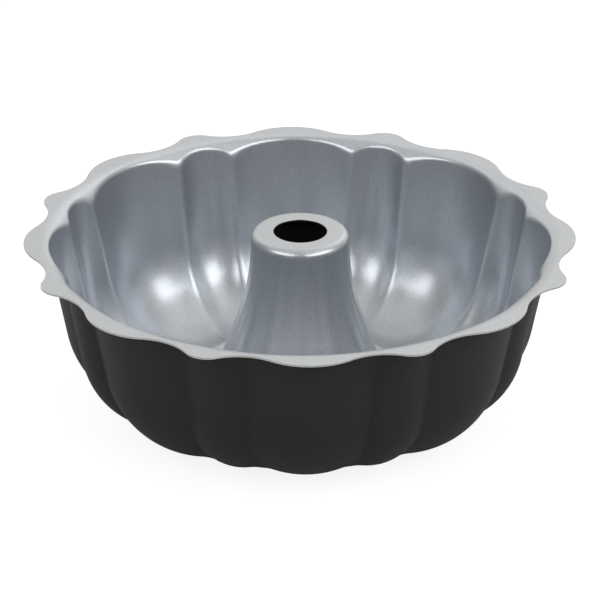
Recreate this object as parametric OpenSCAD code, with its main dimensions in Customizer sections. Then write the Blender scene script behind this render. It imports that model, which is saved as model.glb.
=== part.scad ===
// Fluted brioche mould with a centre tube.
// Millimetres, Z up. The origin is on the table at the middle of the base, and one wide flute faces -Y.
// 8 wide and 8 narrow flutes take turns round the wall. Two half pitches of the wall and their mirror images
// make a quarter, and four quarters make the wall. Each skin is what lies between two growths of the hollow.

/* [Rim] */
// Height of the rim's top face above the table
rim_h = 87; // [80:0.5:100]
// Reach of the rim over a wide flute, from the axis
rim_wide = 132.1; // [130.5:0.1:134]
// Reach of the rim over a narrow flute, from the axis
rim_narrow = 132.4; // [130.5:0.1:134]
// Reach of the rim in the dips between the flutes
rim_dip = 124.9; // [124.6:0.1:126]
// Radius of the dips in the rim's edge
rim_dip_round = 26.6; // [22:0.1:30]
// Angle from the middle of a wide flute to the dip beside it
rim_dip_angle = 12.95; // [12:0.05:14]
// Radius where the rim's flat starts to roll into the wall
roll_start = 124.2; // [123:0.1:124.5]
// Radius of the roll from the rim into the wall
roll_round = 11.4; // [11:0.1:12.5]

/* [Wall] */
// Draft of the wall, degrees from upright
draft = 10.6; // [9:0.1:12]
// Reach of the wide flutes at the rim, inside, from the axis
wide_top = 120.1; // [119:0.1:121]
// Radius of the bend from a wide flute into the base, inside
wide_bend = 47.8; // [44:0.1:50]
// Reach of the narrow flutes at the rim, inside, from the axis
narrow_top = 118.9; // [118:0.1:120]
// Radius of a narrow flute across its width, inside
narrow_round = 22.8; // [21:0.1:22.8]
// How far the wide flutes' lowest line stays above the base ring
flute_lift = 0.8; // [0.5:0.1:1.5]
// Radius of the soft floor that the ridges between the flutes run out into, inside
floor_round = 39; // [34:0.5:42]
// How far that soft floor stays above the base ring
floor_lift = 1.8; // [1.5:0.1:3]

/* [Base] */
// Outer radius of the flat ring that the mould stands on
ring_outer = 68; // [66:0.5:70]
// Outer radius of the raised land around the tube's seam
land_outer = 55.2; // [54:0.1:58]
// Height of the land's top above the table
land_h = 3.7; // [3.6:0.1:4.5]

/* [Tube] */
// How far the tube's top stands above the rim
tube_rise = 4.1; // [0:0.1:10]
// Radius of the tube just under its shoulder
tube_top_r = 23.7; // [21:0.1:26]
// Radius of the shoulder at the tube's top
tube_shoulder = 4; // [1.6:0.1:5]
// Radius of the hole in the tube's top
hole_r = 12.8; // [8:0.1:16]
// Radius of the tube's hollow flare
tube_flare = 125; // [110:1:140]
// Lean of the tube's straight lower part, degrees from upright
tube_lean = 19.3; // [17:0.1:20]
// Height of the upright collar under the tube's shoulder
tube_collar = 1.1; // [1:0.1:6]

/* [Sheet] */
// Thickness of the steel sheet
sheet = 0.8; // [0.6:0.05:0.9]
// Thickness of the lining
lining = 0.2; // [0.1:0.05:0.25]

/* [Hidden] */
pitches = 8;
pitch = 360 / pitches;
skin = sheet + lining;
// Spare length of a cutting shape beyond what it cuts.
over = 2;
// Share of a skin's growth by which a corner of 45 degrees moves along its face.
slant = sqrt(2) - 1;
$fn = 64;

// The bends of both flutes and of the soft floor are tied to the base ring and to the rim.
bend_share = 0.7;
floor_back = 0.7;
bend_z = skin + flute_lift + wide_bend;
narrow_bend = wide_bend - (wide_top - narrow_top) * bend_share;
floor_z = skin + floor_lift + floor_round;
wide_axis = wide_top - (rim_h - bend_z + wide_bend * sin(draft)) * tan(draft) - wide_bend * cos(draft);
narrow_axis = narrow_top - (rim_h - bend_z + narrow_bend * sin(draft)) * tan(draft) - narrow_bend * cos(draft);
floor_x = wide_axis - floor_back;

// The rim's edge is a chain of arcs: wide lobe, dip, narrow lobe, dip.
dip_c = rim_dip + rim_dip_round;
function lobe_c(reach, turn) =
    let (a = reach + rim_dip_round)
    (a * a - dip_c * dip_c) / (2 * (a - dip_c * cos(turn)));
wide_c = lobe_c(rim_wide, rim_dip_angle);
narrow_c = lobe_c(rim_narrow, pitch / 2 - rim_dip_angle);
function polar(r, turn) = [r * cos(turn), r * sin(turn)];

// The tube's profile: collar, hollow flare, straight skirt down to the seam.
tube_h = rim_h + tube_rise;
flare_z = tube_h - tube_shoulder - tube_collar;
flare_x = tube_top_r + tube_flare;
skirt_z = flare_z - tube_flare * sin(tube_lean);
skirt_r = flare_x - tube_flare * cos(tube_lean);
function skirt_at(z) = skirt_r + (skirt_z - z) * tan(tube_lean);

// The seam between tube and base is a folded one: four layers of sheet under the land.
seam_top = land_h - lining;
layer = [for (i = [0 : 4]) seam_top - i * sheet];
fold = sheet * 1.5;
seam_gap = 0.3;
seam_margin = 1.4;
seam_play = 0.1;
seam_in = skirt_at(layer[3]) + seam_gap + fold;
seam_out = land_outer - slant * skin - fold - seam_margin;
bend_in = 0.5;
foot_c = [skirt_at(layer[3] + bend_in) - lining / cos(tube_lean) + bend_in / cos(tube_lean), layer[3] + bend_in];
land_drop = land_h - skin;
cut_r = (land_outer + land_drop + ring_outer) / 2;

// Which piece to draw

// One wide flute: a drafted cone that ends in a ball, on its own upright axis.
module wide_flute(grow) {
    bend = wide_bend + grow;
    foot = [bend * cos(draft), bend_z - bend * sin(draft)];
    top = rim_h + over;
    translate([wide_axis, 0, 0])
    rotate([0, 0, 180])
    rotate_extrude() {
        intersection() {
            translate([0, bend_z])
            circle(r = bend);
            translate([0, bend_z - bend - 1])
            square([bend + 1, bend + 1]);
        }
        polygon([[0, bend_z], foot, [foot[0] + (top - foot[1]) * tan(draft), top], [0, top]]);
    }
}

// One narrow flute: a leaning round bar that bends in towards the base.
module narrow_flute(grow) {
    bar = narrow_round + grow;
    arm = narrow_bend - narrow_round;
    translate([narrow_axis, 0, bend_z])
    rotate([-90, 0, 0])
    rotate([0, 0, draft]) {
        rotate_extrude(angle = 90 - draft)
        intersection() {
            translate([arm, 0])
            rotate(180)
            circle(r = bar);
            translate([0, -bar - 1])
            square([arm + bar + 1, 2 * bar + 2]);
        }
        translate([arm, 0, 0])
        rotate([90, 0, 0])
        rotate([0, 0, 180])
        cylinder(r = bar, h = rim_h);
    }
}

// The round room inside the ridges, with the soft floor and the flat base ring.
module core(grow) {
    bend = floor_round + grow;
    ring_r = ring_outer + slant * grow;
    low = skin - grow;
    rise = 4;
    rotate_extrude() {
        intersection() {
            translate([floor_x, floor_z])
            circle(r = bend);
            translate([floor_x, floor_z - bend - 1])
            square([bend + 1, bend + 1]);
        }
        translate([0, floor_z - bend])
        square([floor_x, rim_h + over - floor_z + bend]);
        translate([0, floor_z])
        square([floor_x + bend, rim_h + over - floor_z]);
        polygon([
            [0, low],
            [ring_r, low],
            [ring_r + rise, low + rise],
            [0, low + rise]
        ]);
    }
}

// The funnel that the roll leaves open over the wall.
module funnel(grow) {
    rotate_extrude()
    difference() {
        translate([0, rim_h - roll_round])
        square([roll_start, roll_round + over]);
        translate([roll_start, rim_h - roll_round])
        circle(r = roll_round - grow);
    }
}

// One pitch of the rim's outline, from the middle of a wide lobe to the middle of the next.
module rim_outline() {
    dips = [rim_dip_angle, pitch - rim_dip_angle];
    difference() {
        union() {
            polygon([
                [0, 0],
                [wide_c, 0],
                polar(dip_c, dips[0]),
                polar(narrow_c, pitch / 2),
                polar(dip_c, dips[1]),
                polar(wide_c, pitch)
            ]);
            for (turn = [0, pitch])
                translate(polar(wide_c, turn))
                circle(r = rim_wide - wide_c);
            translate(polar(narrow_c, pitch / 2))
            circle(r = rim_narrow - narrow_c);
        }
        for (turn = dips)
            translate(polar(dip_c, turn))
            circle(r = rim_dip_round);
    }
}

// The half of a pitch next to the wide flute at turn 0, or the other half.
module half_sector(far) {
    if (far)
        difference() {
            rotate_extrude(angle = pitch)
            children();
            rotate_extrude(angle = pitch / 2)
            translate([0, -over])
            square([2 * rim_narrow, 2 * rim_h]);
        }
    else
        rotate_extrude(angle = pitch / 2)
        children();
}

// Half a pitch of the flat rim and its roll.
module rim_band(outer, inner, far) {
    intersection() {
        half_sector(far) {
            intersection() {
                difference() {
                    translate([roll_start, rim_h - roll_round])
                    circle(r = roll_round - inner);
                    translate([roll_start, rim_h - roll_round])
                    circle(r = roll_round - outer);
                }
                translate([roll_start - roll_round, rim_h - roll_round])
                square([roll_round, roll_round]);
            }
            translate([roll_start, rim_h - outer])
            square([rim_narrow + over - roll_start, outer - inner]);
        }
        translate([0, 0, rim_h - roll_round - over])
        linear_extrude(roll_round + 2 * over)
        rim_outline();
    }
}

// Half a pitch of the wall, still full inside, up into the roll.
module wall_block(outer, inner, far) {
    difference() {
        intersection() {
            union() {
                rotate([0, 0, far ? pitch : 0])
                wide_flute(outer);
                rotate([0, 0, pitch / 2])
                narrow_flute(outer);
                core(outer);
            }
            half_sector(far)
            translate([cut_r, -over])
            square([roll_start - cut_r, rim_h + over]);
        }
        funnel((outer + inner) / 2);
    }
}

// Half a pitch of the skin between two growths, from the base ring to the rim's edge.
module half_pitch(outer, inner, far) {
    difference() {
        union() {
            wall_block(outer, inner, far);
            rim_band(outer, inner, far);
        }
        rotate([0, 0, far ? pitch : 0])
        wide_flute(inner);
        rotate([0, 0, pitch / 2])
        narrow_flute(inner);
        core(inner);
    }
}

// The base ring and the raised land inside it, as far in as reach.
module floor_plate(outer, inner, reach) {
    rotate_extrude()
    polygon([
        [reach, land_h - inner],
        [land_outer - slant * inner, land_h - inner],
        [land_outer + land_drop - slant * inner, skin - inner],
        [cut_r, skin - inner],
        [cut_r, skin - outer],
        [land_outer + land_drop - slant * outer, skin - outer],
        [land_outer - slant * outer, land_h - outer],
        [reach, land_h - outer]
    ]);
}

// A quarter of the skin: a pitch made of two unlike halves, and its mirror image.
module skin_quarter(outer, inner) {
    for (flip = [false, true])
        mirror(flip ? [1, -1, 0] : [0, 0, 0]) {
            half_pitch(outer, inner, false);
            half_pitch(outer, inner, true);
        }
}

// The whole fluted skin between two growths, with a wide flute towards -Y.
module fluted_skin(outer, inner, reach) {
    for (turn = [0 : 90 : 270])
        rotate([0, 0, turn])
        skin_quarter(outer, inner);
    floor_plate(outer, inner, reach);
}

// A fold of the seam in profile: half a turn of sheet round the origin, with its lower and upper leg.
module fold_turn(side, lower, upper) {
    intersection() {
        difference() {
            circle(r = fold);
            circle(r = fold - sheet);
        }
        translate([side < 0 ? -2 * fold : 0, -2 * fold])
        square([2 * fold, 4 * fold]);
    }
    translate([side < 0 ? 0 : -lower, -fold])
    square([lower, sheet]);
    translate([side < 0 ? 0 : -upper, fold - sheet])
    square([upper, sheet]);
}

// What lies inside the tube's outer face, pushed in by inset, down to the level low.
module tube_inside(inset, low) {
    flare = tube_flare + inset;
    top_r = tube_top_r - inset;
    bend_x = tube_top_r - tube_shoulder;
    bend_top = tube_h - tube_shoulder;
    difference() {
        union() {
            polygon([
                [0, low],
                [skirt_at(low) - inset / cos(tube_lean), low],
                [flare_x - flare * cos(tube_lean), flare_z - flare * sin(tube_lean)],
                [top_r, flare_z],
                [top_r, bend_top],
                [bend_x, tube_h - inset],
                [0, tube_h - inset]
            ]);
            translate([bend_x, bend_top])
            circle(r = tube_shoulder - inset);
        }
        translate([flare_x, flare_z])
        circle(r = flare);
    }
}

// A skin of the tube between two insets, with the hole in its top.
module tube_skin(shallow, deep, low) {
    difference() {
        tube_inside(shallow, low);
        tube_inside(deep, low);
        translate([0, low - 1])
        square([hole_r, tube_h - low + 2]);
    }
}

module fluted_body() {
    color("#3b3a38") {
        fluted_skin(skin, lining, seam_in + fold);
        rotate_extrude()
        translate([seam_in, layer[1] - sheet / 2])
        fold_turn(-1, seam_out - seam_in - seam_play, 2 * fold);
    }
}

module centre_tube() {
    foot_out = bend_in + sheet;
    low = foot_c[1] - foot_out * sin(tube_lean);
    away = [cos(tube_lean), sin(tube_lean)];
    flange = seam_out - foot_c[0];
    color("#4a4a49")
    rotate_extrude() {
        tube_skin(lining, skin, low);
        translate(foot_c) {
            intersection() {
                difference() {
                    circle(r = foot_out);
                    circle(r = bend_in);
                }
                polygon([[0, 0], -2 * foot_out * away, -2 * foot_out * [1, 1], [0, -2 * foot_out]]);
            }
            translate([flange, fold - foot_out])
            fold_turn(1, flange, seam_out - seam_in - seam_play);
        }
    }
}

module inner_lining() {
    corner = [skirt_at(land_h), land_h];
    fillet = 2;
    run = fillet / tan((90 + tube_lean) / 2);
    fillet_c = corner + [run, fillet];
    color("#a3a7ac") {
        fluted_skin(lining, 0, skirt_at(land_h) + run / 2);
        rotate_extrude() {
            tube_skin(0, lining, seam_top);
            translate([skirt_at(seam_top) - lining / cos(tube_lean), seam_top])
            square([run / 2 + 1, lining]);
            difference() {
                polygon([
                    corner,
                    corner + [run, 0],
                    fillet_c,
                    corner + run * [-sin(tube_lean), cos(tube_lean)]
                ]);
                translate(fillet_c)
                circle(r = fillet);
            }
        }
    }
}

fluted_body();
centre_tube();
inner_lining();
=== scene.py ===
"""Brioche mould: a fluted tin with a flat wavy rim and a hollow centre tube.

The frame is the CAD frame: Z up, the table at zero, and a wide flute towards -Y. The tin's sizes and the
camera's place are in millimetres and turn into metres where they are used. Lamps and floor are in metres.
"""
import math

import bpy
import numpy as np
from mathutils import Matrix, Vector


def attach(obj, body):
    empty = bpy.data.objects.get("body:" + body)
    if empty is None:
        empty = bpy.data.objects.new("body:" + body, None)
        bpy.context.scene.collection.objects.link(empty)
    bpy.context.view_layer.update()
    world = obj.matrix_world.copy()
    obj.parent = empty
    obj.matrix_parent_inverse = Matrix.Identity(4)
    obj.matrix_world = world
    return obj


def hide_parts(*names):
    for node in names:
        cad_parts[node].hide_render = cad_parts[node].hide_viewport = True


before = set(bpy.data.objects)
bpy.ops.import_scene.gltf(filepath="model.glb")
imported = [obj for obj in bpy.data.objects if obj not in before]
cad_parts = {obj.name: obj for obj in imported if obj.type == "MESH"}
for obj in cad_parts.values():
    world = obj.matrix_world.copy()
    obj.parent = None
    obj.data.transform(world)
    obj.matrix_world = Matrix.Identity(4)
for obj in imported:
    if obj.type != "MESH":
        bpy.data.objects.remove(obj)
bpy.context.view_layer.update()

MM = 0.001
PITCHES = 8
PITCH = 2 * math.pi / PITCHES

# Sizes of the tin, with the solid model's names and values

# Rim: its top's height, its reach over wide flutes, narrow flutes and the dips between them, and its roll
RIM_H = 87.0
RIM_WIDE = 132.1
RIM_NARROW = 132.4
RIM_DIP = 124.9
RIM_DIP_ROUND = 26.6
RIM_DIP_ANGLE = math.radians(12.95)
ROLL_START = 124.2
ROLL_ROUND = 11.4
# Wall: its draft, each kind of flute's reach at the rim, the wide ones' bend into the base and the narrow
# ones' radius across
DRAFT = math.radians(10.6)
WIDE_TOP = 120.1
WIDE_BEND = 47.8
NARROW_TOP = 118.9
NARROW_ROUND = 22.8
# How much smaller the narrow flutes' bend is, as a share of the difference in reach
BEND_SHARE = 0.7
# How far the wide flutes and the soft floor that the ridges run out into stay above the base ring
FLUTE_LIFT = 0.8
FLOOR_LIFT = 1.8
FLOOR_ROUND = 39.0
# How far the soft floor's bend is centred inside the wide flutes' bend
FLOOR_BACK = 0.7
# Base: the flat ring and the raised land round the tube. The ring's radius is the photo's. The solid has 68.
RING_OUTER = 64.0
LAND_OUTER = 55.2
LAND_H = 3.7
# Tube: how far it stands over the rim, then its upper end, its hollow flare and its straight skirt's lean
TUBE_RISE = 4.1
TUBE_TOP_R = 23.7
TUBE_SHOULDER = 4.0
TUBE_COLLAR = 1.1
HOLE_R = 12.8
TUBE_FLARE = 125.0
TUBE_LEAN = math.radians(19.3)
# Sheet
SHEET = 0.8
LINING = 0.2
SKIN = SHEET + LINING
# Seam: the gap between the skirt and the body's fold, the margin outside the tube's fold, the play at the
# layers' tips, and the inner radius of the bend at the tube's foot
SEAM_GAP = 0.3
SEAM_MARGIN = 1.4
SEAM_PLAY = 0.1
BEND_IN = 0.5

# Small forms of the visible mesh alone

# Rounding of the ridges between flutes, of the flutes' mouth and of the corner round the base ring
RIDGE_ROUND = 1.6
MOUTH_ROUND = 1.0
RING_ROUND = 1.0
# Height over the base ring up to which its sloping side is part of the hollow
RING_SIDE_H = 12.0
# Size of the soft corners of the step round the land, and a corner's middle point as shares of it
STEP_SOFT = 0.5
STEP_CORNER = (0.15, 0.12)
# The flat rim's last row, in from the edge
RIM_MARGIN = 0.25
# Rounding of the sheet's edge underneath, and how far in and up from the corner its middle lies
EDGE_ROUND = 0.14
EDGE_MIDDLE = 0.04
# The sheet's edge and the lining's: steps in from the rim's edge and down from that layer's own top
SHEET_EDGE = [
    (RIM_MARGIN, 0),
    (0.02, 0),
    (0, 0.03),
    (0, SHEET - EDGE_ROUND),
    (EDGE_MIDDLE, SHEET - EDGE_MIDDLE),
    (EDGE_ROUND, SHEET),
    (RIM_MARGIN, SHEET),
]
LINING_EDGE = [
    (RIM_MARGIN, 0),
    (0.1, 0.01),
    (0.02, 0.06),
    (0, LINING),
    (RIM_MARGIN, LINING),
]
# Faces of the edge are bare steel from just under the sheet's top, where their normals' Z is less than this
STEEL_START = 0.01
STEEL_NORMAL_Z = 0.5
# Break of the corners at the hole in the tube's top, how far under the top the lining's start lies there, and
# the next row of the lining, out from the hole
HOLE_BREAK = 0.1
HOLE_DROP = 0.15
HOLE_ROW = 2.0
# Fillet from the tube onto the land. Its arc stops just short of 270 degrees.
FILLET = 2.0
FILLET_END = 268
# The lining's start on the land, out from the tube, and two more rows, out from there
LAND_START = 0.6
LAND_ROWS = (2.5, 5.5)
# A row of the body on the land, out from its fold
SEAM_ROW = 2.5

# Mesh

# Columns in half a pitch, picked from fine steps. Round the ridge's turn they stand 1 + CROWD times as close.
HALF_COLUMNS = 48
FINE_TURNS = 4001
RIDGE_TURN = math.radians(15.1)
CROWD_WIDTH = math.radians(2.2)
CROWD = 2.2
TUBE_COLUMNS = 192
TUBE_LINING_COLUMNS = 256
# Rows of the body and the lining on the base ring, in the bend, up the wall, in the roll and on the flat rim,
# where the lining's bright face has one more
RING_ROWS = 6
BEND_ROWS = 45
WALL_ROWS = 13
ROLL_ROWS = 26
RIM_ROWS = 3
TOP_RIM_ROWS = 4
# Probes that find those rows. The first stands just outside the step round the land, and those on the ring
# run between two heights. The others run between two distances from the bend's middle, or towards the roll's.
PROBE_START = 1.2
PROBE_OVER = 20
PROBE_UNDER = -4
PROBE_NEAR = 5
PROBE_FAR = 62
PROBE_ROLL = 40
# How often each probe is halved before it is taken to be on the skin
HALVINGS = 34
# Faces that meet at a smaller angle are shaded smooth
SMOOTH_ANGLE = math.radians(38)

# Camera, where the photograph's stood: its place, its field of view and its angles in degrees, and how many
# metres it sees
CAMERA_AT = (-70.75, -1731.5, 914.3)
CAMERA_FIELD = 8.546
CAMERA_DOWN = 26.393
CAMERA_TURN = -2.34
CAMERA_ROLL = 0.233
CAMERA_REACH = 20

# Light

# Colour of the studio's soft light
STUDIO_TINT = (1.03, 1.0, 0.955)
# Level of the world along each axis, from -1 to 1: by the sine of the elevation, from front to back, and from
# left to right. The three are multiplied.
LOW_TO_HIGH = [(0.05, 0.6), (0.38, 1.02), (0.75, 1.12)]
FRONT_TO_BACK = [
    (-0.9, 0.43), (-0.6, 0.48), (-0.3, 1.1), (0.1, 1.15), (0.35, 0.95), (0.6, 1.55), (0.92, 1.36)]
LEFT_TO_RIGHT = [(-0.8, 0.38), (-0.45, 0.75), (0.0, 0.66), (0.45, 0.95), (0.8, 0.6)]
# Both lamps' height, their distance from the tin and the point that they face
LAMP_HEIGHT = 0.70
LAMP_AWAY = 1.6
LAMP_AIM = (0, 0, 0.04)

# Floor

# Half its width, how far it lies under the tin, and its matt colour as the tin sees it
FLOOR_HALF = 6.0
FLOOR_GAP = 0.0002
FLOOR_MATT = (0.8, 0.8, 0.8)
# How much darker than white the floor is in full shadow, and the matt colour that fills it up in the light
SHADOW_DEPTH = 0.12
SHADOW_SHARE = (0.22, 0.22, 0.22)

# Derived, as in the solid model
SLANT = math.sqrt(2) - 1
BEND_Z = SKIN + FLUTE_LIFT + WIDE_BEND
NARROW_BEND = WIDE_BEND - (WIDE_TOP - NARROW_TOP) * BEND_SHARE
FLOOR_Z = SKIN + FLOOR_LIFT + FLOOR_ROUND


def flute_axis(top, bend):
    """How far from the tin's axis a flute's own bend is centred."""
    return top - (RIM_H - BEND_Z + bend * math.sin(DRAFT)) * math.tan(DRAFT) - bend * math.cos(DRAFT)


WIDE_AXIS = flute_axis(WIDE_TOP, WIDE_BEND)
NARROW_AXIS = flute_axis(NARROW_TOP, NARROW_BEND)
FLOOR_X = WIDE_AXIS - FLOOR_BACK
DIP_C = RIM_DIP + RIM_DIP_ROUND


def lobe_centre(reach, turn):
    """How far from the tin's axis the arc of a rim lobe is centred that meets the dip at that turn."""
    arm = reach + RIM_DIP_ROUND
    return (arm * arm - DIP_C * DIP_C) / (2 * (arm - DIP_C * math.cos(turn)))


WIDE_C = lobe_centre(RIM_WIDE, RIM_DIP_ANGLE)
NARROW_C = lobe_centre(RIM_NARROW, PITCH / 2 - RIM_DIP_ANGLE)

TUBE_H = RIM_H + TUBE_RISE
FLARE_Z = TUBE_H - TUBE_SHOULDER - TUBE_COLLAR
FLARE_X = TUBE_TOP_R + TUBE_FLARE
SKIRT_Z = FLARE_Z - TUBE_FLARE * math.sin(TUBE_LEAN)
SKIRT_R = FLARE_X - TUBE_FLARE * math.cos(TUBE_LEAN)


def skirt_at(z):
    """Outer radius of the tube's straight skirt at a height."""
    return SKIRT_R + (SKIRT_Z - z) * math.tan(TUBE_LEAN)


SEAM_TOP = LAND_H - LINING
LAYER = [SEAM_TOP - i * SHEET for i in range(4)]
FOLD = 1.5 * SHEET
SEAM_IN = skirt_at(LAYER[3]) + SEAM_GAP + FOLD
SEAM_OUT = LAND_OUTER - SLANT * SKIN - FOLD - SEAM_MARGIN
FOOT_Z = LAYER[3] + BEND_IN
FOOT = (skirt_at(FOOT_Z) + (BEND_IN - LINING) / math.cos(TUBE_LEAN), FOOT_Z)
LAND_DROP = LAND_H - SKIN


# The tin's hollow, as a distance: less than zero in the open, and the depth into the metal beyond

def round_union(a, b, radius):
    """Two hollows as one, with the edge where they meet rounded off."""
    reach = np.hypot(np.maximum(radius - a, 0), np.maximum(radius - b, 0))
    return np.maximum(radius, np.minimum(a, b)) - reach


def rounded_corner(a, b, radius):
    """A hollow inside two walls, with the corner between them rounded."""
    return np.hypot(np.maximum(a, 0), np.maximum(b, 0)) + np.minimum(np.maximum(a, b), 0) - radius


def wide_flute(r, turn, z):
    """A drafted cone that ends in a ball."""
    across = np.hypot(r * np.cos(turn) - WIDE_AXIS, r * np.sin(turn))
    up = z - BEND_Z
    wall = across * math.cos(DRAFT) - up * math.sin(DRAFT) - WIDE_BEND
    ball = np.hypot(across, up) - WIDE_BEND
    on_wall = across * math.sin(DRAFT) + up * math.cos(DRAFT) > 0
    return np.where(on_wall, wall, ball)


def narrow_flute(r, turn, z):
    """A leaning round bar that bends in towards the base."""
    out = r * np.cos(turn) - NARROW_AXIS
    side = r * np.sin(turn)
    up = z - BEND_Z
    arm = NARROW_BEND - NARROW_ROUND
    bar = out * math.cos(DRAFT) - up * math.sin(DRAFT) - arm
    elbow = np.hypot(out, up) - arm
    on_bar = out * math.sin(DRAFT) + up * math.cos(DRAFT) > 0
    return np.hypot(np.where(on_bar, bar, elbow), side) - NARROW_ROUND


def core(r, z):
    """The soft floor that the ridges run out into, joined to the flat ring at the bottom."""
    room = rounded_corner(r - FLOOR_X, FLOOR_Z - z, FLOOR_ROUND)
    ring = np.maximum((r - RING_OUTER - z + SKIN) * math.sqrt(0.5), SKIN - z)
    return np.where(z < SKIN + RING_SIDE_H, round_union(room, ring, RING_ROUND), room)


def above_rim(r, z):
    """The open above the flat rim and its roll into the wall."""
    roll_z = RIM_H - ROLL_ROUND
    return np.maximum(-rounded_corner(ROLL_START - r, z - roll_z, ROLL_ROUND), roll_z - z)


def hollow(r, turn, z):
    """The whole hollow. turn runs from 0 in the middle of a wide flute to half a pitch in a narrow one's."""
    flutes = round_union(wide_flute(r, turn, z), narrow_flute(r, PITCH / 2 - turn, z), RIDGE_ROUND)
    flutes = round_union(flutes, core(r, z), RIDGE_ROUND)
    return round_union(flutes, above_rim(r, z), MOUTH_ROUND)


# Columns of the body and the lining

def half_pitch_turns():
    """Turns over half a pitch, closer together near the ridge."""
    fine = np.linspace(0, PITCH / 2, FINE_TURNS)
    weight = 1 + CROWD * np.exp(-(((fine - RIDGE_TURN) / CROWD_WIDTH) ** 2))
    total = np.concatenate([[0], np.cumsum((weight[1:] + weight[:-1]) / 2)])
    return np.interp(np.linspace(0, total[-1], HALF_COLUMNS + 1), total, fine)


TURNS = half_pitch_turns()


def column_angles():
    """The angle of each column all round. The first one faces -Y."""
    one = np.concatenate([TURNS[:-1], PITCH - TURNS[:0:-1]])
    return np.concatenate([one + i * PITCH for i in range(PITCHES)]) - math.pi / 2


ANGLES = column_angles()


def all_round(half):
    """Rows of values over half a pitch, mirrored and repeated all round."""
    pitch = np.concatenate([half[:, :-1], half[:, :0:-1]], axis=1)
    return np.tile(pitch, (1, PITCHES))


def rim_edge():
    """Radius of the rim's edge over half a pitch: wide lobe, dip, narrow lobe."""
    wide_r = RIM_WIDE - WIDE_C
    narrow_r = RIM_NARROW - NARROW_C

    def at(centre, turn):
        """A place at a distance from the tin's axis."""
        return np.array([centre * math.cos(turn), centre * math.sin(turn)])

    def junction(lobe, radius):
        """The turn at which a lobe's arc passes into the dip's."""
        dip = at(DIP_C, RIM_DIP_ANGLE)
        way = (dip - lobe) / np.linalg.norm(dip - lobe)
        point = lobe + way * radius
        return math.atan2(point[1], point[0])

    def half_chord(turn, centre, radius):
        """Half the length that a line from the axis runs inside a circle."""
        return np.sqrt(np.maximum(radius**2 - (centre * np.sin(turn)) ** 2, 0))

    def far_side(turn, centre, radius):
        return centre * np.cos(turn) + half_chord(turn, centre, radius)

    def near_side(turn, centre, radius):
        return centre * np.cos(turn) - half_chord(turn, centre, radius)

    wide = far_side(TURNS, WIDE_C, wide_r)
    dip = near_side(TURNS - RIM_DIP_ANGLE, DIP_C, RIM_DIP_ROUND)
    narrow = far_side(PITCH / 2 - TURNS, NARROW_C, narrow_r)
    edge = np.where(TURNS < junction(at(WIDE_C, 0), wide_r), wide, dip)
    return np.where(TURNS > junction(at(NARROW_C, PITCH / 2), narrow_r), narrow, edge)


EDGE = rim_edge()


# Rows of the body and the lining

def probes():
    """Start in the open and end in the metal of each probe, in (r, z), from the base ring into the roll."""
    starts, ends = [], []
    for r in np.linspace(LAND_OUTER + LAND_DROP + PROBE_START, RING_OUTER, RING_ROWS, endpoint=False):
        starts.append((r, PROBE_OVER))
        ends.append((r, PROBE_UNDER))
    bend = np.array([RING_OUTER, BEND_Z])
    for angle in np.linspace(0, math.pi / 2, BEND_ROWS, endpoint=False):
        way = np.array([math.sin(angle), -math.cos(angle)])
        starts.append(bend + PROBE_NEAR * way)
        ends.append(bend + PROBE_FAR * way)
    roll = np.array([ROLL_START, RIM_H - ROLL_ROUND])
    for z in np.linspace(BEND_Z, roll[1], WALL_ROWS, endpoint=False):
        starts.append((RING_OUTER + PROBE_NEAR, z))
        ends.append((ROLL_START, z))
    for angle in np.radians(np.linspace(180, 90, ROLL_ROWS)):
        way = np.array([math.cos(angle), math.sin(angle)])
        starts.append(roll + PROBE_ROLL * way)
        ends.append(roll)
    return np.array(starts, float), np.array(ends, float)


def skin_rows(depth):
    """(r, z) of the skin at a depth into the metal, one row per probe, over half a pitch."""
    starts, ends = probes()
    shape = (len(starts), len(TURNS))
    low = np.zeros(shape)
    high = np.ones(shape)
    turns = np.broadcast_to(TURNS, shape)
    for _ in range(HALVINGS):
        mid = (low + high) / 2
        r = starts[:, :1] + (ends - starts)[:, :1] * mid
        z = starts[:, 1:] + (ends - starts)[:, 1:] * mid
        open_here = hollow(r, turns, z) < depth
        low = np.where(open_here, mid, low)
        high = np.where(open_here, high, mid)
    r = starts[:, :1] + (ends - starts)[:, :1] * low
    z = starts[:, 1:] + (ends - starts)[:, 1:] * low
    return r, np.maximum(z, SKIN - depth)


class Loop:
    """A closed loop of rows round a sheet's section, each row over half a pitch."""

    def __init__(self):
        self.r = []
        self.z = []

    def add(self, r, z):
        self.r.append(np.broadcast_to(np.asarray(r, float), TURNS.shape))
        self.z.append(np.broadcast_to(np.asarray(z, float), TURNS.shape))

    def add_all(self, points):
        for r, z in points:
            self.add(r, z)

    def add_skin(self, depth, outward):
        """The skin from the base ring into the roll, or back."""
        r, z = skin_rows(depth)
        order = range(len(r)) if outward else range(len(r) - 1, -1, -1)
        for i in order:
            self.add(r[i], z[i])

    def add_rim(self, depth, rows, outward):
        """The flat rim between its roll and its edge."""
        steps = np.linspace(0, 1, rows + 2)[1:-1]
        span = EDGE - RIM_MARGIN - ROLL_START
        for step in steps if outward else steps[::-1]:
            self.add(ROLL_START + span * step, RIM_H - depth)

    def add_edge(self, depth, outline):
        """The edge of a sheet whose top lies at a depth under the rim's."""
        for back, down in outline:
            self.add(EDGE - back, RIM_H - depth - down)

    def points(self):
        """The loop's points all round, one row after another."""
        r = all_round(np.array(self.r))
        z = all_round(np.array(self.z))
        return np.stack([r * np.cos(ANGLES), r * np.sin(ANGLES), z], axis=2)


def arc(centre, radius, start, end, count):
    """Points on an arc in (r, z), angles in degrees."""
    angles = np.radians(np.linspace(start, end, count))
    return [(centre[0] + radius * math.cos(a), centre[1] + radius * math.sin(a)) for a in angles]


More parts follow.
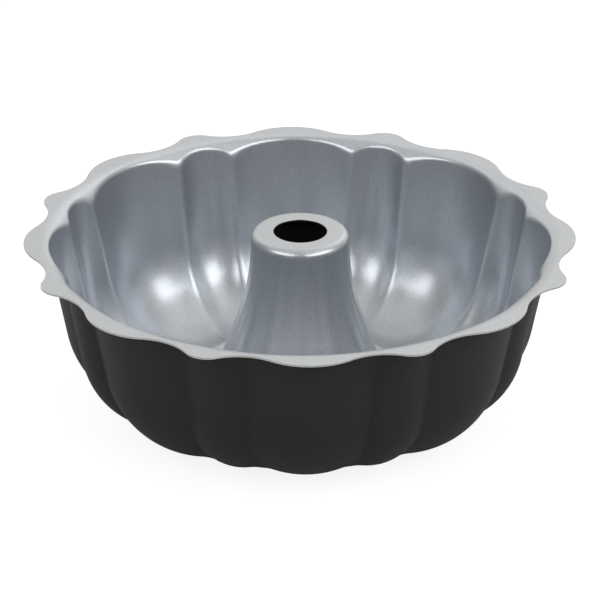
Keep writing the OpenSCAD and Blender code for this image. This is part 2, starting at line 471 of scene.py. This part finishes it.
def land_step(depth):
    """The step from the raised land down to the base ring, at a depth into the metal, from the inside out."""
    top = (LAND_OUTER - SLANT * depth, LAND_H - depth)
    low = (LAND_OUTER + LAND_DROP - SLANT * depth, SKIN - depth)
    along = STEP_CORNER[0] * STEP_SOFT
    down = STEP_CORNER[1] * STEP_SOFT
    diagonal = STEP_SOFT * math.sqrt(0.5)
    return [
        (top[0] - STEP_SOFT, top[1]),
        (top[0] - along, top[1] - down),
        (top[0] + diagonal, top[1] - diagonal),
        ((top[0] + low[0]) / 2, (top[1] + low[1]) / 2),
        (low[0] - diagonal, low[1] + diagonal),
        (low[0] + along, low[1] + down),
        (low[0] + STEP_SOFT, low[1]),
    ]


def body_loop():
    """The pressed steel body, up the inside, over the rim, down the outside and through its fold."""
    loop = Loop()
    loop.add(SEAM_IN + SEAM_ROW, LAYER[0])
    loop.add_all(land_step(LINING))
    loop.add_skin(LINING, outward=True)
    loop.add_rim(LINING, RIM_ROWS, outward=True)
    loop.add_edge(LINING, SHEET_EDGE)
    loop.add_rim(SKIN, RIM_ROWS, outward=False)
    loop.add_skin(SKIN, outward=False)
    loop.add_all(land_step(SKIN)[::-1])
    centre = (SEAM_IN, LAYER[1] - SHEET / 2)
    tip = SEAM_OUT - SEAM_PLAY
    loop.add_all(arc(centre, FOLD - SHEET, 90, 270, count=7))
    loop.add_all([(tip, LAYER[2]), (tip, LAYER[3])])
    loop.add_all(arc(centre, FOLD, 270, 90, count=11))
    return loop


def lining_loop():
    """The lining on the body: its bright face from the land out to the rim's edge, and its back."""
    loop = Loop()
    inner = skirt_at(LAND_H) + LAND_START
    loop.add(inner, LAND_H)
    for out in LAND_ROWS:
        loop.add(inner + out, LAND_H)
    loop.add_all(land_step(0))
    loop.add_skin(0, outward=True)
    loop.add_rim(0, TOP_RIM_ROWS, outward=True)
    loop.add_edge(0, LINING_EDGE)
    loop.add_rim(LINING, RIM_ROWS, outward=False)
    loop.add_skin(LINING, outward=False)
    loop.add_all(land_step(LINING)[::-1])
    loop.add(inner, LAND_H - LINING)
    return loop


def tube_side(inset, flare_points):
    """The tube round its shoulder and down its flare to the straight skirt, inset from its outer face."""
    shoulder = (TUBE_TOP_R - TUBE_SHOULDER, TUBE_H - TUBE_SHOULDER)
    skirt_way = 180 + math.degrees(TUBE_LEAN)
    points = arc(shoulder, TUBE_SHOULDER - inset, 90, 0, count=14)
    points += arc((FLARE_X, FLARE_Z), TUBE_FLARE + inset, 180, skirt_way, count=flare_points)
    return points


def tube_loop():
    """The drawn tube, down its outside, out through its flange and fold, and back up its inside."""
    skirt_way = 180 + math.degrees(TUBE_LEAN)
    fold = (SEAM_OUT, LAYER[2] - SHEET / 2)
    tip = SEAM_IN + SEAM_PLAY
    points = [(HOLE_R, TUBE_H - LINING - HOLE_BREAK), (HOLE_R + HOLE_BREAK, TUBE_H - LINING)]
    points += tube_side(LINING, flare_points=40)
    points += arc(FOOT, BEND_IN, skirt_way, 270, count=6)
    points += arc(fold, FOLD - SHEET, -90, 90, count=7)
    points += [(tip, LAYER[2]), (tip, LAYER[1])]
    points += arc(fold, FOLD, 90, -90, count=11)
    points += arc(FOOT, BEND_IN + SHEET, 270, skirt_way, count=8)
    points += tube_side(SKIN, flare_points=40)[::-1]
    points += [(HOLE_R + HOLE_BREAK, TUBE_H - SKIN), (HOLE_R, TUBE_H - SKIN + HOLE_BREAK)]
    return points


def tube_lining_loop():
    """The lining on the tube, with its small fillet down onto the land."""
    foot = skirt_at(LAND_H)
    run = FILLET / math.tan((math.pi / 2 + TUBE_LEAN) / 2)
    fillet = (foot + run, LAND_H + FILLET)
    points = [(HOLE_R, TUBE_H - HOLE_DROP), (HOLE_R + HOLE_BREAK, TUBE_H), (HOLE_R + HOLE_ROW, TUBE_H)]
    points += tube_side(0, flare_points=60)
    points += arc(fillet, FILLET, 180 + math.degrees(TUBE_LEAN), FILLET_END, count=12)
    points += [(foot + run, LAND_H - LINING), (foot - LINING, LAND_H - LINING)]
    points += tube_side(LINING, flare_points=40)[::-1]
    points += [(HOLE_R, TUBE_H - LINING)]
    return points


def revolved(profile, columns):
    """Rows of points round the axis, one for each point of a profile."""
    angles = np.linspace(0, 2 * math.pi, columns, endpoint=False)
    r = np.array([p[0] for p in profile])[:, None]
    z = np.array([p[1] for p in profile])[:, None] + 0 * angles
    return np.stack([r * np.cos(angles), r * np.sin(angles), z], axis=2)


def face_out(mesh):
    """Turns the faces outward if the mesh encloses less than nothing."""
    volume = 0.0
    for polygon in mesh.polygons:
        a, b, c, d = (mesh.vertices[i].co for i in polygon.vertices)
        volume += a.dot(b.cross(c)) + a.dot(c.cross(d))
    if volume < 0:
        mesh.flip_normals()


def ring_mesh(name, points):
    """A closed sheet: rows run round its section and columns round the axis."""
    rows, columns = points.shape[:2]
    index = np.arange(rows * columns).reshape(rows, columns)
    after = np.roll(index, -1, axis=0)
    corners = [index, np.roll(index, -1, axis=1), np.roll(after, -1, axis=1), after]
    quads = np.stack(corners, axis=2).reshape(-1, 4)
    mesh = bpy.data.meshes.new(name)
    mesh.from_pydata((points.reshape(-1, 3) * MM).tolist(), [], quads.tolist())
    mesh.validate()
    for polygon in mesh.polygons:
        polygon.use_smooth = True
    mesh.set_sharp_from_angle(angle=SMOOTH_ANGLE)
    face_out(mesh)
    piece = bpy.data.objects.new(name, mesh)
    bpy.context.scene.collection.objects.link(piece)
    return piece


# Shader nodes

def cleared_tree(owner):
    """The emptied node tree of a material or a world."""
    owner.use_nodes = True
    owner.node_tree.nodes.clear()
    return owner.node_tree


def feed(tree, source, node, socket):
    """Links an output to one of a node's inputs."""
    tree.links.new(source, node.inputs[socket])


def finish_tree(tree, kind, surface):
    """Adds the tree's output node, fed by its last shader."""
    feed(tree, surface, tree.nodes.new(kind), "Surface")


def mix_shaders(tree, factor, first, second):
    """The first shader where the factor is 0, and the second where it is 1."""
    mix = tree.nodes.new("ShaderNodeMixShader")
    feed(tree, factor, mix, "Fac")
    feed(tree, first, mix, 1)
    feed(tree, second, mix, 2)
    return mix.outputs["Shader"]


def ramp(tree, source, stops):
    """Colours along a value, from stops of place and colour."""
    node = tree.nodes.new("ShaderNodeValToRGB")
    elements = node.color_ramp.elements
    while len(elements) < len(stops):
        elements.new(0.5)
    for element, (place, colour) in zip(elements, stops):
        element.position = place
        element.color = (*colour, 1)
    feed(tree, source, node, "Fac")
    return node.outputs["Color"]


# Most of a noise texture's values lie between these
NOISE_LOW = 0.3
NOISE_HIGH = 0.7


def noise(tree, scale, detail):
    """A noise over the piece's own coordinates, in metres."""
    place = tree.nodes.get("Place") or tree.nodes.new("ShaderNodeTexCoord")
    place.name = "Place"
    texture = tree.nodes.new("ShaderNodeTexNoise")
    texture.inputs["Scale"].default_value = scale
    texture.inputs["Detail"].default_value = detail
    feed(tree, place.outputs["Object"], texture, "Vector")
    return texture.outputs["Fac"]


def shades(tree, source, low, high):
    """A noise as a colour between two."""
    return ramp(tree, source, [(NOISE_LOW, low), (NOISE_HIGH, high)])


def spread(tree, source, low, high):
    """A noise as a value between two."""
    node = tree.nodes.new("ShaderNodeMapRange")
    node.inputs["From Min"].default_value = NOISE_LOW
    node.inputs["From Max"].default_value = NOISE_HIGH
    node.inputs["To Min"].default_value = low
    node.inputs["To Max"].default_value = high
    feed(tree, source, node, "Value")
    return node.outputs["Result"]


def multiplied(tree, first, second):
    """Two colours multiplied."""
    node = tree.nodes.new("ShaderNodeMix")
    node.data_type = "RGBA"
    node.blend_type = "MULTIPLY"
    node.inputs["Factor"].default_value = 1.0
    feed(tree, first, node, "A")
    feed(tree, second, node, "B")
    return node.outputs["Result"]


def bump(tree, shader, source, height):
    """Relief on a shader, with its height in metres."""
    node = tree.nodes.new("ShaderNodeBump")
    node.inputs["Distance"].default_value = height
    feed(tree, source, node, "Height")
    feed(tree, node.outputs["Normal"], shader, "Normal")


def new_material(name):
    """A material with one shader, and that shader and the node tree to work on."""
    material = bpy.data.materials.new(name)
    tree = cleared_tree(material)
    shader = tree.nodes.new("ShaderNodeBsdfPrincipled")
    finish_tree(tree, "ShaderNodeOutputMaterial", shader.outputs["BSDF"])
    return material, tree, shader


def grey(level):
    return (level, level, level)


# Materials

def lining_material():
    """Silver-grey non-stick lining: a fine metallic fleck in a satin film."""
    material, tree, shader = new_material("silver_lining")
    fleck = noise(tree, scale=1900, detail=1)
    flecks = ramp(tree, fleck, [
        (0.30, (0.405, 0.437, 0.48)),
        (0.52, (0.45, 0.482, 0.525)),
        (0.66, (0.50, 0.532, 0.572)),
        (0.74, (0.61, 0.632, 0.66)),
    ])
    clouds = shades(tree, noise(tree, scale=14, detail=3), grey(0.95), grey(1))
    feed(tree, multiplied(tree, flecks, clouds), shader, "Base Color")
    # Where the roughness is under about 0.275, the denoiser leaves dark specks
    feed(tree, spread(tree, fleck, low=0.28, high=0.34), shader, "Roughness")
    shader.inputs["Metallic"].default_value = 0.85
    shader.inputs["Coat Weight"].default_value = 0.8
    shader.inputs["Coat Roughness"].default_value = 0.18
    bump(tree, shader, noise(tree, scale=1100, detail=2), height=0.000008)
    return material


def charcoal_material():
    """Charcoal baked finish: dark, faintly warm, with a soft sheen and a fine grain."""
    material, tree, shader = new_material("charcoal_finish")
    grain = noise(tree, scale=1500, detail=2)
    cloud = noise(tree, scale=22, detail=3)
    dark = shades(tree, grain, (0.0118, 0.0118, 0.0108), (0.0195, 0.0195, 0.0175))
    clouds = shades(tree, cloud, grey(0.9), grey(1))
    feed(tree, multiplied(tree, dark, clouds), shader, "Base Color")
    feed(tree, spread(tree, cloud, low=0.54, high=0.62), shader, "Roughness")
    shader.inputs["Specular IOR Level"].default_value = 0.2
    bump(tree, shader, grain, height=0.00001)
    return material


def edge_material():
    """The sheet's trimmed edge: bare steel, dull and faintly uneven."""
    material, tree, shader = new_material("cut_edge")
    fine = noise(tree, scale=700, detail=3)
    steel = shades(tree, fine, (0.34, 0.35, 0.36), (0.46, 0.47, 0.48))
    feed(tree, steel, shader, "Base Color")
    feed(tree, spread(tree, fine, low=0.38, high=0.5), shader, "Roughness")
    shader.inputs["Metallic"].default_value = 0.7
    bump(tree, shader, fine, height=0.00001)
    return material


def floor_material():
    """Matt to the tin, but to the camera white with a faint shadow, and clear from below."""
    material = bpy.data.materials.new("floor")
    tree = cleared_tree(material)
    matt = tree.nodes.new("ShaderNodeBsdfDiffuse")
    matt.inputs["Color"].default_value = (*FLOOR_MATT, 1)
    faint = tree.nodes.new("ShaderNodeBsdfDiffuse")
    faint.inputs["Color"].default_value = (*SHADOW_SHARE, 1)
    white = tree.nodes.new("ShaderNodeEmission")
    white.inputs["Strength"].default_value = 1 - SHADOW_DEPTH
    seen = tree.nodes.new("ShaderNodeAddShader")
    feed(tree, faint.outputs["BSDF"], seen, 0)
    feed(tree, white.outputs["Emission"], seen, 1)
    clear = tree.nodes.new("ShaderNodeBsdfTransparent")
    to_camera = tree.nodes.new("ShaderNodeLightPath").outputs["Is Camera Ray"]
    from_below = tree.nodes.new("ShaderNodeNewGeometry").outputs["Backfacing"]
    above = mix_shaders(tree, to_camera, matt.outputs["BSDF"], seen.outputs["Shader"])
    surface = mix_shaders(tree, from_below, above, clear.outputs["BSDF"])
    finish_tree(tree, "ShaderNodeOutputMaterial", surface)
    return material


# Pieces

def dress(piece, node, materials):
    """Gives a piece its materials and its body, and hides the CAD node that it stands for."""
    for material in materials:
        piece.data.materials.append(material)
    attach(piece, "root")
    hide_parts(node)


def is_cut_edge(face):
    """Whether a face of the body is part of the sheet's trimmed edge."""
    r = math.hypot(face.center.x, face.center.y) / MM
    down = RIM_H - LINING - face.center.z / MM
    steep = abs(face.normal.z) < STEEL_NORMAL_Z
    return steep and r > ROLL_START and STEEL_START < down < SHEET - EDGE_MIDDLE


def make_body(finish, steel):
    """The pressed body, with bare steel on its trimmed edge."""
    body = ring_mesh("fluted_pan", body_loop().points())
    dress(body, "fluted_body", [finish, steel])
    for face in body.data.polygons:
        if is_cut_edge(face):
            face.material_index = 1


def make_lining(finish):
    """The lining inside the body and on its rim."""
    lining = ring_mesh("pan_lining", lining_loop().points())
    dress(lining, "inner_lining", [finish])


def make_tube(finish):
    """The drawn centre tube, folded into the body at its foot."""
    tube = ring_mesh("tube_shell", revolved(tube_loop(), TUBE_COLUMNS))
    dress(tube, "centre_tube", [finish])


def make_tube_lining(finish):
    """The lining on the tube and over the seam."""
    lining = ring_mesh("tube_lining", revolved(tube_lining_loop(), TUBE_LINING_COLUMNS))
    dress(lining, "inner_lining", [finish])


# Camera, floor and light

def place_camera():
    """The photograph's camera."""
    data = bpy.data.cameras.new("camera")
    data.sensor_fit = "HORIZONTAL"
    data.angle = math.radians(CAMERA_FIELD)
    data.clip_end = CAMERA_REACH
    camera = bpy.data.objects.new("camera", data)
    bpy.context.scene.collection.objects.link(camera)
    camera.location = Vector(CAMERA_AT) * MM
    turn = Matrix.Rotation(math.radians(CAMERA_TURN), 4, "Z")
    tilt = Matrix.Rotation(math.radians(90 - CAMERA_DOWN), 4, "X")
    roll = Matrix.Rotation(math.radians(CAMERA_ROLL), 4, "Z")
    camera.rotation_euler = (turn @ tilt @ roll).to_euler()
    bpy.context.scene.camera = camera


def make_floor():
    """A wide flat floor just under the tin."""
    half = FLOOR_HALF
    corners = [(-half, -half, 0), (half, -half, 0), (half, half, 0), (-half, half, 0)]
    mesh = bpy.data.meshes.new("floor")
    mesh.from_pydata(corners, [], [(0, 1, 2, 3)])
    mesh.materials.append(floor_material())
    floor = bpy.data.objects.new("floor", mesh)
    floor.location.z = -FLOOR_GAP
    bpy.context.scene.collection.objects.link(floor)


def level_along(tree, source, stops):
    """A grey level for a value from -1 to 1, from stops of value and level."""
    shift = tree.nodes.new("ShaderNodeMapRange")
    shift.inputs["From Min"].default_value = -1
    feed(tree, source, shift, "Value")
    return ramp(tree, shift.outputs["Result"], [((value + 1) / 2, grey(level)) for value, level in stops])


def make_world():
    """A studio: light overhead and behind, dimmer in front, and plain white where the camera sees it."""
    world = bpy.data.worlds.new("studio")
    bpy.context.scene.world = world
    tree = cleared_tree(world)
    place = tree.nodes.new("ShaderNodeTexCoord")
    axes = tree.nodes.new("ShaderNodeSeparateXYZ")
    feed(tree, place.outputs["Generated"], axes, "Vector")
    level = level_along(tree, axes.outputs["Z"], LOW_TO_HIGH)
    for axis, stops in (("Y", FRONT_TO_BACK), ("X", LEFT_TO_RIGHT)):
        both = tree.nodes.new("ShaderNodeMath")
        both.operation = "MULTIPLY"
        feed(tree, level, both, 0)
        feed(tree, level_along(tree, axes.outputs[axis], stops), both, 1)
        level = both.outputs["Value"]
    soft = tree.nodes.new("ShaderNodeBackground")
    soft.inputs["Color"].default_value = (*STUDIO_TINT, 1)
    feed(tree, level, soft, "Strength")
    white = tree.nodes.new("ShaderNodeBackground")
    white.inputs["Color"].default_value = (1, 1, 1, 1)
    to_camera = tree.nodes.new("ShaderNodeLightPath").outputs["Is Camera Ray"]
    surface = mix_shaders(tree, to_camera, soft.outputs["Background"], white.outputs["Background"])
    finish_tree(tree, "ShaderNodeOutputWorld", surface)


def softbox(name, turn, lift, width, watts):
    """A lamp seen from the tin at a turn from +X and a lift above the table, in degrees."""
    turn = math.radians(turn)
    lift = math.radians(lift)
    way = Vector((math.cos(turn) * math.cos(lift), math.sin(turn) * math.cos(lift), math.sin(lift)))
    data = bpy.data.lights.new(name, "AREA")
    data.shape = "RECTANGLE"
    data.size = width
    data.size_y = LAMP_HEIGHT
    data.energy = watts
    lamp = bpy.data.objects.new(name, data)
    bpy.context.scene.collection.objects.link(lamp)
    lamp.location = way * LAMP_AWAY
    lamp.rotation_euler = (Vector(LAMP_AIM) - way * LAMP_AWAY).to_track_quat("-Z", "Y").to_euler()


silver = lining_material()
charcoal = charcoal_material()
make_body(charcoal, edge_material())
make_lining(silver)
make_tube(charcoal)
make_tube_lining(silver)

place_camera()
make_floor()
make_world()
softbox("front_right", turn=-44, lift=39, width=1.6, watts=8.6)
softbox("front_left", turn=-135, lift=40, width=1.3, watts=6.4)

bpy.context.scene.view_settings.view_transform = "Standard"
